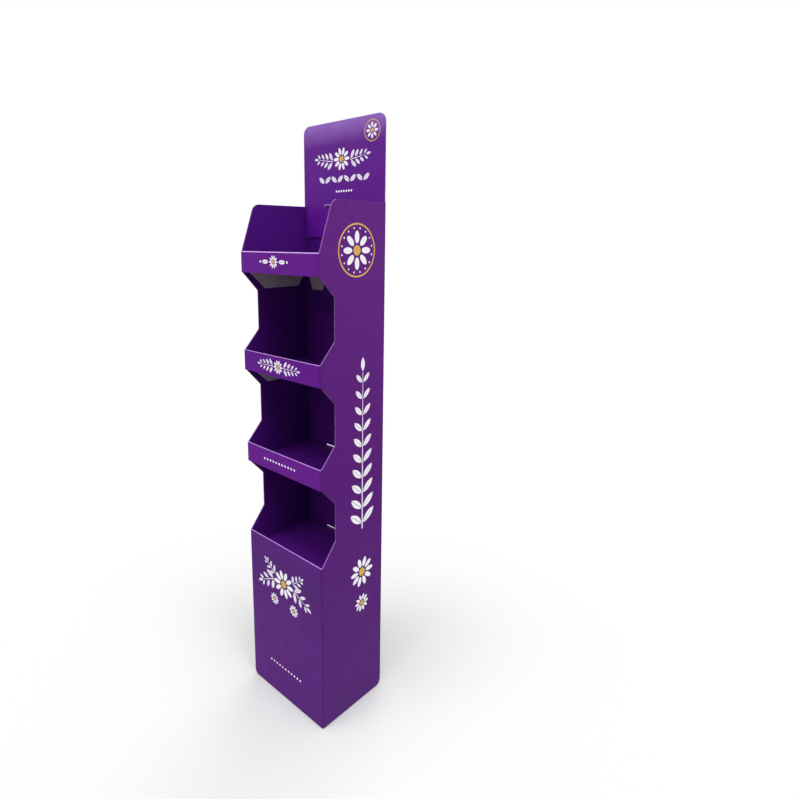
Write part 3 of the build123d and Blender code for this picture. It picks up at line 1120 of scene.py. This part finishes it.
# Broad soft light: name, azimuth from the front towards the right, height above the floor, W per m2
SKYLIGHTS = (
    ("Skylight_above", 40.0, 80.0, 2.8),
    ("Skylight_right", 82.0, 40.0, 1.25),
    ("Skylight_front", -15.0, 42.0, 1.1),
    ("Skylight_rear", 200.0, 50.0, 0.9),
)
SKYLIGHT_SPREAD = math.radians(40)
SKYLIGHT_HEIGHT = 3.0

# Strength of the white world as light on the stand, and where it is seen, straight or mirrored
WORLD_LIGHT = 0.5
WORLD_SEEN = 1.0
WHITE = (1.0, 1.0, 1.0, 1.0)

# The floor's radius, how far it lies under the stand, and the ring in which it fades into the white world
FLOOR_RADIUS = 6.0
FLOOR_UNDER = 0.0005
FLOOR_FADE = (0.35, 1.3)

# The floor's grey as the stand's light meets it, and its paler grey as the camera sees it
FLOOR_BOUNCE = 0.24
FLOOR_SEEN = 0.48


def photo_camera(scene):
    """The camera at the photo's viewing angle."""
    bpy.ops.object.camera_add(
        location=CAMERA_PLACE, rotation=[math.radians(angle) for angle in CAMERA_TURN]
    )
    camera = bpy.context.object
    camera.name = "Camera"
    camera.data.sensor_width = CAMERA_SENSOR
    camera.data.lens = CAMERA_LENS
    camera.data.shift_x, camera.data.shift_y = CAMERA_SHIFT
    camera.data.clip_end = CAMERA_FAR
    scene.camera = camera


def skylights():
    """Broad lamps round the stand, like the windows and ceiling of a studio."""
    for name, azimuth, height, power in SKYLIGHTS:
        bpy.ops.object.light_add(type="SUN", location=(0, 0, SKYLIGHT_HEIGHT))
        lamp = bpy.context.object
        lamp.name = name
        lamp.data.energy = power
        lamp.data.angle = SKYLIGHT_SPREAD
        lamp.rotation_euler = (math.radians(90 - height), 0, math.radians(azimuth))


def white_world(scene):
    """A world that is white where it is seen, straight or mirrored, and weaker as light."""
    world = bpy.data.worlds.new("White studio")
    scene.world = world
    world.use_nodes = True
    tree = world.node_tree
    tree.nodes.clear()
    path = add_node(tree, "ShaderNodeLightPath")
    seen = path.outputs["Is Camera Ray"]
    for ray in ("Is Glossy Ray", "Is Transmission Ray"):
        pair = {FIRST: seen, SECOND: path.outputs[ray]}
        seen = add_node(tree, "ShaderNodeMath", pair, operation="MAXIMUM")
    strength = add_node(
        tree, "ShaderNodeMapRange", {"Value": seen, "To Min": WORLD_LIGHT, "To Max": WORLD_SEEN}
    )
    white = add_node(tree, "ShaderNodeBackground", {"Color": WHITE, "Strength": strength})
    add_node(tree, "ShaderNodeOutputWorld", {"Surface": white})


def studio_floor():
    """A plain pale floor that takes the stand's shadow, and further out runs into the world's white."""
    bpy.ops.mesh.primitive_circle_add(
        vertices=96, radius=FLOOR_RADIUS, fill_type="NGON", location=(0, 0, -FLOOR_UNDER)
    )
    floor = bpy.context.object
    floor.name = "Floor"
    material, tree = new_material("White studio floor")
    place = add_node(tree, "ShaderNodeTexCoord")
    reach = add_node(tree, "ShaderNodeVectorMath", {FIRST: place.outputs["Object"]}, operation="LENGTH")
    fade = add_node(
        tree,
        "ShaderNodeMapRange",
        {"Value": reach.outputs["Value"], "From Min": FLOOR_FADE[0], "From Max": FLOOR_FADE[1]},
        interpolation_type="SMOOTHSTEP",
    )
    seen = add_node(tree, "ShaderNodeLightPath").outputs["Is Camera Ray"]
    # The camera sees white paint, and the stand gets the weaker bounce of a grey floor
    tone = add_node(
        tree, "ShaderNodeMapRange", {"Value": seen, "To Min": FLOOR_BOUNCE, "To Max": FLOOR_SEEN}
    )
    paint = add_node(tree, "ShaderNodeBsdfDiffuse", {"Color": tone})
    glow = add_node(tree, "ShaderNodeEmission", {"Color": WHITE, "Strength": WORLD_SEEN})
    mask = add_node(tree, "ShaderNodeMath", {FIRST: fade, SECOND: seen}, operation="MULTIPLY")
    both = add_node(tree, "ShaderNodeMixShader", {FIRST: mask, SECOND: paint, THIRD: glow})
    add_node(tree, "ShaderNodeOutputMaterial", {"Surface": both})
    floor.data.materials.append(material)


class STAND_OT_stage(bpy.types.Operator):
    """Set the camera, the lights, the floor and the white world"""

    bl_idname = "stand.stage"
    bl_label = "Camera, lights and floor"

    def execute(self, context):
        clear_selection()
        photo_camera(context.scene)
        skylights()
        white_world(context.scene)
        studio_floor()
        context.scene.view_settings.view_transform = "Standard"
        return {"FINISHED"}


class STAND_PT_panel(bpy.types.Panel):
    """The stand's pieces, in the order in which they are dressed"""

    bl_idname = "STAND_PT_panel"
    bl_label = "Display Stand"
    bl_space_type = "VIEW_3D"
    bl_region_type = "UI"
    bl_category = "Display Stand"

    def draw(self, context):
        for group in settings():
            box = self.layout.box()
            for name in group.__annotations__:
                box.prop(group, name)
        for operator in OPERATORS:
            self.layout.operator(operator.bl_idname)


GROUPS = {"stand_board": StandBoard, "stand_print": StandPrint, "stand_ornament": StandOrnament}
OPERATORS = (
    STAND_OT_outer_wrap,
    STAND_OT_header_card,
    STAND_OT_shelf_trays,
    STAND_OT_base_cross,
    STAND_OT_side_ornament,
    STAND_OT_header_ornament,
    STAND_OT_front_ornament,
    STAND_OT_stage,
)


def register():
    """Registers the settings, the operators and the panel."""
    for name, group in GROUPS.items():
        bpy.utils.register_class(group)
        setattr(bpy.types.Scene, name, bpy.props.PointerProperty(type=group))
    for operator in OPERATORS:
        bpy.utils.register_class(operator)
    bpy.utils.register_class(STAND_PT_panel)


def unregister():
    """Takes them away again."""
    bpy.utils.unregister_class(STAND_PT_panel)
    for operator in reversed(OPERATORS):
        bpy.utils.unregister_class(operator)
    for name, group in GROUPS.items():
        delattr(bpy.types.Scene, name)
        bpy.utils.unregister_class(group)


def main():
    """Dresses the stand."""
    register()
    bpy.ops.stand.outer_wrap()
    bpy.ops.stand.header_card()
    bpy.ops.stand.shelf_trays()
    bpy.ops.stand.base_cross()
    bpy.ops.stand.side_ornament()
    bpy.ops.stand.header_ornament()
    bpy.ops.stand.front_ornament()
    bpy.ops.stand.stage()


if __name__ == "__main__":
    main()
